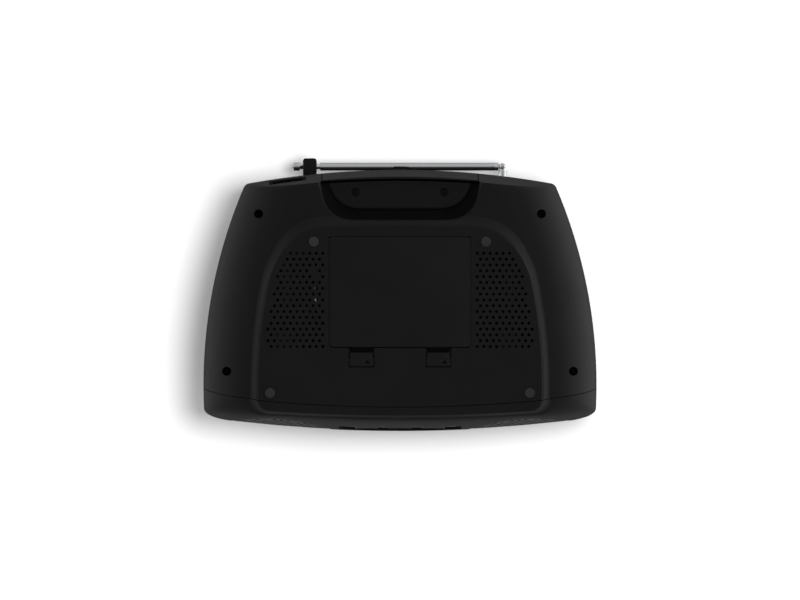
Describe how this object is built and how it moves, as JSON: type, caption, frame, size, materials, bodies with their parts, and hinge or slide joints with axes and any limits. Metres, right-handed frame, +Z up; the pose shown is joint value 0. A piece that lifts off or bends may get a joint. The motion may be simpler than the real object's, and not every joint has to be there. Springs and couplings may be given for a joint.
{
  "type": "portable cd radio",
  "caption": "Compact table-standing CD radio with twin speakers, top disc lid, battery bay underneath, rear finger grip and a folding telescopic antenna.",
  "frame": {"origin": "middle of the footprint on the table, at the undersides of the rubber feet", "axes": "+X to the right as seen from the front, +Y from the speaker front to the rear, +Z up"},
  "size_m": [0.3048, 0.2116, 0.122],
  "materials": {
    "cabinet_plastic": "fine moulded texture",
    "panel_plastic": "satin",
    "inner_plastic": "matt",
    "grille_metal": "powder coated",
    "bare_steel": "zinc plated",
    "paper_cone": "pressed paper look",
    "magnet": "ferrite",
    "clear_window": "smoked clear",
    "lcd_glass": "liquid crystal glass",
    "circuit_board": "solder mask",
    "key_plastic": "satin silver",
    "screw_steel": "black zinc",
    "damper_rubber": "soft rubber",
    "foot_rubber": "dark grey rubber",
    "chrome": "polished",
    "gear_nylon": "natural nylon",
    "cell_wrap": "plain wrap"
  },
  "bodies": {
    "cabinet": {"bottom_cabinet": "cabinet_plastic", "front_cabinet": "cabinet_plastic", "top_cabinet": "cabinet_plastic", "control_panel": "panel_plastic", "speaker_grille_left": "grille_metal", "speaker_grille_right": "grille_metal", "speaker_basket_left": "bare_steel", "speaker_basket_right": "bare_steel", "speaker_magnet_left": "magnet", "speaker_magnet_right": "magnet", "lcd_window": "clear_window", "lcd_module": "lcd_glass", "key_board": "circuit_board", "headphone_jack": "panel_plastic", "lid_hinge_pins": "screw_steel", "cd_chassis": "bare_steel", "chassis_dampers": "damper_rubber", "spindle_motor": "bare_steel", "guide_rods": "chrome", "sled_motor": "bare_steel", "main_board": "circuit_board", "board_parts": "inner_plastic", "volume_pot": "inner_plastic", "tuning_capacitor": "gear_nylon", "slide_switches": "inner_plastic", "battery_cells": "cell_wrap", "battery_springs": "bare_steel", "battery_plates": "bare_steel", "mains_inlet": "panel_plastic", "transformer": "bare_steel", "rubber_feet": "foot_rubber", "case_screws": "screw_steel", "antenna_clip": "cabinet_plastic"},
    "lid": {"cd_lid": "panel_plastic", "lid_window": "clear_window"},
    "clamp": {"disc_clamp": "inner_plastic"},
    "lid_key": {"lid_button": "key_plastic"},
    "play_key": {"play_button": "key_plastic"},
    "stop_key": {"stop_button": "key_plastic"},
    "previous_key": {"previous_button": "key_plastic"},
    "next_key": {"next_button": "key_plastic"},
    "program_key": {"program_button": "key_plastic"},
    "power_key": {"power_button": "key_plastic"},
    "disc_table": {"turntable": "inner_plastic"},
    "pickup": {"laser_pickup": "inner_plastic"},
    "pinion": {"sled_gear": "gear_nylon"},
    "volume": {"volume_knob": "key_plastic"},
    "tuning": {"tuning_knob": "key_plastic"},
    "function_switch": {"function_slider": "key_plastic"},
    "band_switch": {"band_slider": "key_plastic"},
    "door": {"battery_door": "cabinet_plastic"},
    "latch_left": {"door_latch_left": "cabinet_plastic"},
    "latch_right": {"door_latch_right": "cabinet_plastic"},
    "cone_left": {"speaker_cone_left": "paper_cone"},
    "cone_right": {"speaker_cone_right": "paper_cone"},
    "antenna_post": {"antenna_base": "chrome"},
    "mast": {"antenna_mast": "chrome"},
    "tube_2": {"antenna_tube_2": "chrome"},
    "tube_3": {"antenna_tube_3": "chrome"},
    "tip": {"antenna_tip": "chrome"}
  },
  "joints": [
    {"name": "lid_open", "type": "hinge", "parent": "cabinet", "child": "lid", "pos_m": [0, 0.075, 0.1165], "axis": [-1, 0, 0], "range_deg": [0, 80]},
    {"name": "clamp_spin", "type": "hinge", "parent": "lid", "child": "clamp", "pos_m": [0, 0.005, 0.112], "axis": [0, 0, 1], "continuous": true},
    {"name": "lid_button_press", "type": "slide", "parent": "cabinet", "child": "lid_key", "axis": [0, 0, -1], "range_m": [0, 0.0015], "stiffness_N_per_m": 500},
    {"name": "play_press", "type": "slide", "parent": "cabinet", "child": "play_key", "axis": [0, 1, 0], "range_m": [0, 0.0011], "stiffness_N_per_m": 500},
    {"name": "stop_press", "type": "slide", "parent": "cabinet", "child": "stop_key", "axis": [0, 1, 0], "range_m": [0, 0.0011], "stiffness_N_per_m": 500},
    {"name": "previous_press", "type": "slide", "parent": "cabinet", "child": "previous_key", "axis": [0, 1, 0], "range_m": [0, 0.0011], "stiffness_N_per_m": 500},
    {"name": "next_press", "type": "slide", "parent": "cabinet", "child": "next_key", "axis": [0, 1, 0], "range_m": [0, 0.0011], "stiffness_N_per_m": 500},
    {"name": "program_press", "type": "slide", "parent": "cabinet", "child": "program_key", "axis": [0, 1, 0], "range_m": [0, 0.0011], "stiffness_N_per_m": 500},
    {"name": "power_press", "type": "slide", "parent": "cabinet", "child": "power_key", "axis": [0, 1, 0], "range_m": [0, 0.0011], "stiffness_N_per_m": 500},
    {"name": "disc_spin", "type": "hinge", "parent": "cabinet", "child": "disc_table", "pos_m": [0, 0.005, 0.106], "axis": [0, 0, 1], "continuous": true},
    {"name": "pickup_travel", "type": "slide", "parent": "cabinet", "child": "pickup", "axis": [1, 0, 0], "range_m": [0, 0.034]},
    {"name": "pinion_turn", "type": "hinge", "parent": "cabinet", "child": "pinion", "pos_m": [0.045, 0.032, 0.0955], "axis": [0, 0, 1], "range_deg": [0, 330]},
    {"name": "volume_turn", "type": "hinge", "parent": "cabinet", "child": "volume", "pos_m": [-0.086, -0.038, 0.119], "axis": [0, 0, -1], "range_deg": [0, 280]},
    {"name": "tuning_turn", "type": "hinge", "parent": "cabinet", "child": "tuning", "pos_m": [0.086, -0.038, 0.119], "axis": [0, 0, -1], "range_deg": [0, 180]},
    {"name": "function_slide", "type": "slide", "parent": "cabinet", "child": "function_switch", "axis": [0, -1, 0], "range_m": [0, 0.016]},
    {"name": "band_slide", "type": "slide", "parent": "cabinet", "child": "band_switch", "axis": [0, -1, 0], "range_m": [0, 0.008]},
    {"name": "door_open", "type": "hinge", "parent": "cabinet", "child": "door", "pos_m": [0, 0.0435, 0.0041], "axis": [1, 0, 0], "range_deg": [0, 95]},
    {"name": "latch_left_press", "type": "slide", "parent": "door", "child": "latch_left", "axis": [0, 1, 0], "range_m": [0, 0.0022], "stiffness_N_per_m": 500},
    {"name": "latch_right_press", "type": "slide", "parent": "door", "child": "latch_right", "axis": [0, 1, 0], "range_m": [0, 0.0022], "stiffness_N_per_m": 500},
    {"name": "cone_left_stroke", "type": "slide", "parent": "cabinet", "child": "cone_left", "axis": [0.0833, 0.9965, 0], "range_m": [-0.001, 0.001], "stiffness_N_per_m": 1500},
    {"name": "cone_right_stroke", "type": "slide", "parent": "cabinet", "child": "cone_right", "axis": [-0.0833, 0.9965, 0], "range_m": [-0.001, 0.001], "stiffness_N_per_m": 1500},
    {"name": "antenna_swivel", "type": "hinge", "parent": "cabinet", "child": "antenna_post", "pos_m": [-0.0798, 0.09, 0.096], "axis": [0, -1, 0], "range_deg": [0, 180]},
    {"name": "antenna_tilt", "type": "hinge", "parent": "antenna_post", "child": "mast", "pos_m": [-0.0798, 0.0993, 0.096], "axis": [0, 0, 1], "range_deg": [0, 90]},
    {"name": "antenna_slide_2", "type": "slide", "parent": "mast", "child": "tube_2", "axis": [1, 0, 0], "range_m": [0, 0.115]},
    {"name": "antenna_slide_3", "type": "slide", "parent": "tube_2", "child": "tube_3", "axis": [1, 0, 0], "range_m": [0, 0.113]},
    {"name": "antenna_slide_4", "type": "slide", "parent": "tube_3", "child": "tip", "axis": [1, 0, 0], "range_m": [0, 0.11]}
  ],
  "couplings": [
    {"joint": "pinion_turn", "follows": "pickup_travel", "rad_per_m": 166.67}
  ]
}
